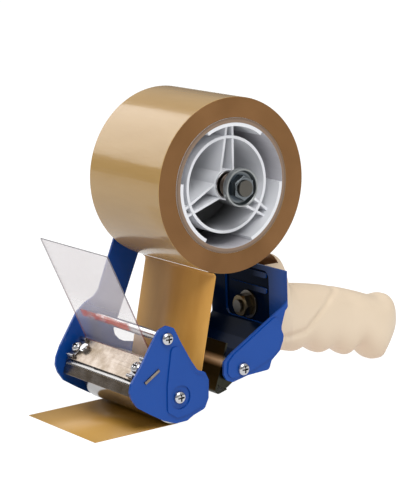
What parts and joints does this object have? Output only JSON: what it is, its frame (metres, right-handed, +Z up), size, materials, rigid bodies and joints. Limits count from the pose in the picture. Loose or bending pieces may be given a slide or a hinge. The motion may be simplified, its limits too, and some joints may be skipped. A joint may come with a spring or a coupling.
{
  "type": "packing tape dispenser",
  "caption": "Hand-held carton sealing tape dispenser: blue steel frame, ivory pistol grip, brown tape roll on a braked hub, application roller, serrated blade and clear flap.",
  "frame": {"origin": "on the surface it stands on, straight below the application roller's axle, at the middle of the tape's width", "axes": "+Z up; -Y is the front, where the tape runs out; +Y towards the handle; +X the open side with the hub's brake nut"},
  "size_m": [0.1, 0.2628, 0.1943],
  "materials": {
    "blue_paint": "gloss powder coat, royal blue",
    "bright_steel": "bright zinc plate",
    "zinc_steel": "zinc plated sheet",
    "yellow_zinc": "yellow passivated zinc",
    "blade_steel": "ground steel",
    "dark_steel": "gloss dark gunmetal",
    "clear_pvc": "clear PVC film",
    "ivory_plastic": "satin ivory moulding",
    "white_plastic": "semi gloss white moulding",
    "friction_fibre": "pressed fibre",
    "spring_steel": "oiled dark spring wire",
    "cardboard": "wound kraft board",
    "brown_tape": "gloss brown packaging film",
    "roller_steel": "polished steel tube",
    "black_plastic": "black nylon"
  },
  "bodies": {
    "frame_body": {"frame": "blue_paint", "right_cheek": "blue_paint", "guide_rod": "bright_steel", "roller_axle": "bright_steel", "rear_rod": "bright_steel", "side_screws": "bright_steel", "blade_carrier": "zinc_steel", "blade": "blade_steel", "clamp_plate": "zinc_steel", "flap": "clear_pvc", "end_clips": "bright_steel", "clamp_screws": "bright_steel", "clamp_nuts": "yellow_zinc", "stud_nut": "bright_steel", "handle": "ivory_plastic", "handle_bolt": "bright_steel", "handle_washer": "bright_steel", "handle_nut": "yellow_zinc", "hub_bolt": "bright_steel", "bolt_locknut": "bright_steel", "friction_washer": "friction_fibre", "thrust_washer": "bright_steel", "brake_spring": "spring_steel", "tape_leader": "brown_tape"},
    "tape_supply": {"hub": "white_plastic", "tape_core": "cardboard", "tape_roll": "brown_tape"},
    "application_roller": {"roller_tube": "roller_steel", "roller_bushes": "black_plastic"},
    "guard": {"guard_plate": "dark_steel"},
    "brake_cup": {"spring_cup": "bright_steel"},
    "brake_nut_body": {"brake_nut": "bright_steel"}
  },
  "joints": [
    {"name": "roll_spin", "type": "hinge", "parent": "frame_body", "child": "tape_supply", "pos_m": [0, 0.0475, 0.1403], "axis": [1, 0, 0], "continuous": true},
    {"name": "roller_spin", "type": "hinge", "parent": "frame_body", "child": "application_roller", "pos_m": [0, 0, 0.0177], "axis": [1, 0, 0], "continuous": true},
    {"name": "guard_swing", "type": "hinge", "parent": "frame_body", "child": "guard", "pos_m": [0, 0.0479, 0.0267], "axis": [1, 0, 0], "range_deg": [-14, 0], "stiffness_Nm_per_rad": 0.3, "springref_deg": 11.46},
    {"name": "brake_press", "type": "slide", "parent": "frame_body", "child": "brake_cup", "axis": [1, 0, 0], "range_m": [0, 0.0015]},
    {"name": "brake_turn", "type": "hinge", "parent": "brake_cup", "child": "brake_nut_body", "pos_m": [0.047, 0.0475, 0.1403], "axis": [1, 0, 0], "range_deg": [0, 360]}
  ],
  "couplings": [
    {"joint": "roller_spin", "follows": "roll_spin", "ratio": -3.1765},
    {"joint": "brake_turn", "follows": "brake_press", "rad_per_m": 4188}
  ]
}
